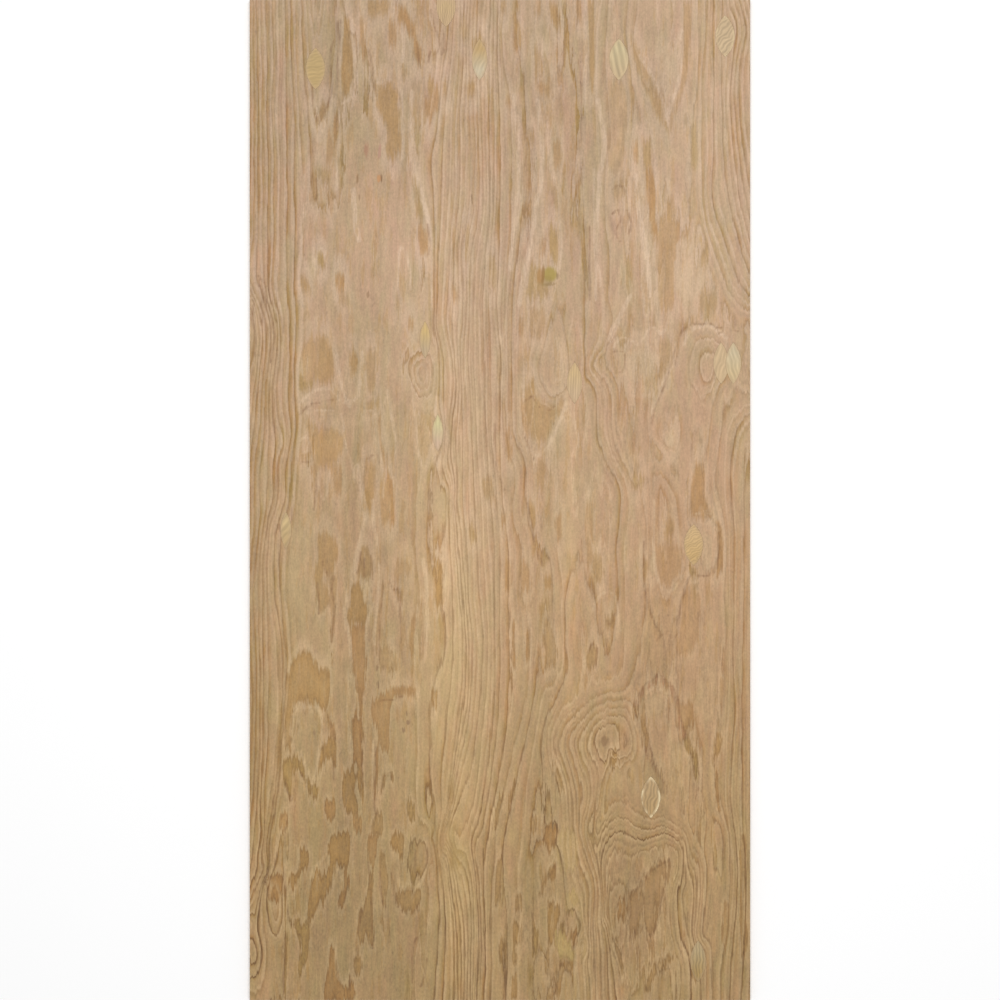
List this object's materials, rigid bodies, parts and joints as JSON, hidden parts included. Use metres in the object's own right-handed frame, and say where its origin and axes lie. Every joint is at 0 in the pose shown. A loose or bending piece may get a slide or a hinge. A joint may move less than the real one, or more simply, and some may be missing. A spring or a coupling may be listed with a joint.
{
  "type": "plywood sheet",
  "caption": "Rectangular sanded softwood plywood sheet lying flat, with square edges, straight face grain along its length, and boat-shaped wood patches let in flush with the good face.",
  "frame": {"origin": "middle of the back face, the face that the sheet lies on", "axes": "+X across the sheet's width, +Y along its length and its face grain, +Z out of the good face"},
  "size_m": [1.2192, 2.4384, 0.0183],
  "materials": {
    "fir_plywood": "sanded and unfinished, matt, tan to pinkish brown with darker growth lines",
    "patch_wood": "sanded and unfinished, matt, pale straw"
  },
  "bodies": {
    "root": {"plywood_sheet": "fir_plywood", "boat_patch_01": "patch_wood", "boat_patch_02": "patch_wood", "boat_patch_03": "patch_wood", "boat_patch_04": "patch_wood", "boat_patch_05": "patch_wood", "boat_patch_06": "patch_wood", "boat_patch_07": "patch_wood", "boat_patch_08": "patch_wood", "boat_patch_09": "patch_wood", "boat_patch_10": "patch_wood", "boat_patch_11": "patch_wood", "boat_patch_12": "patch_wood", "boat_patch_13": "patch_wood", "boat_patch_14": "patch_wood"}
  },
  "joints": []
}
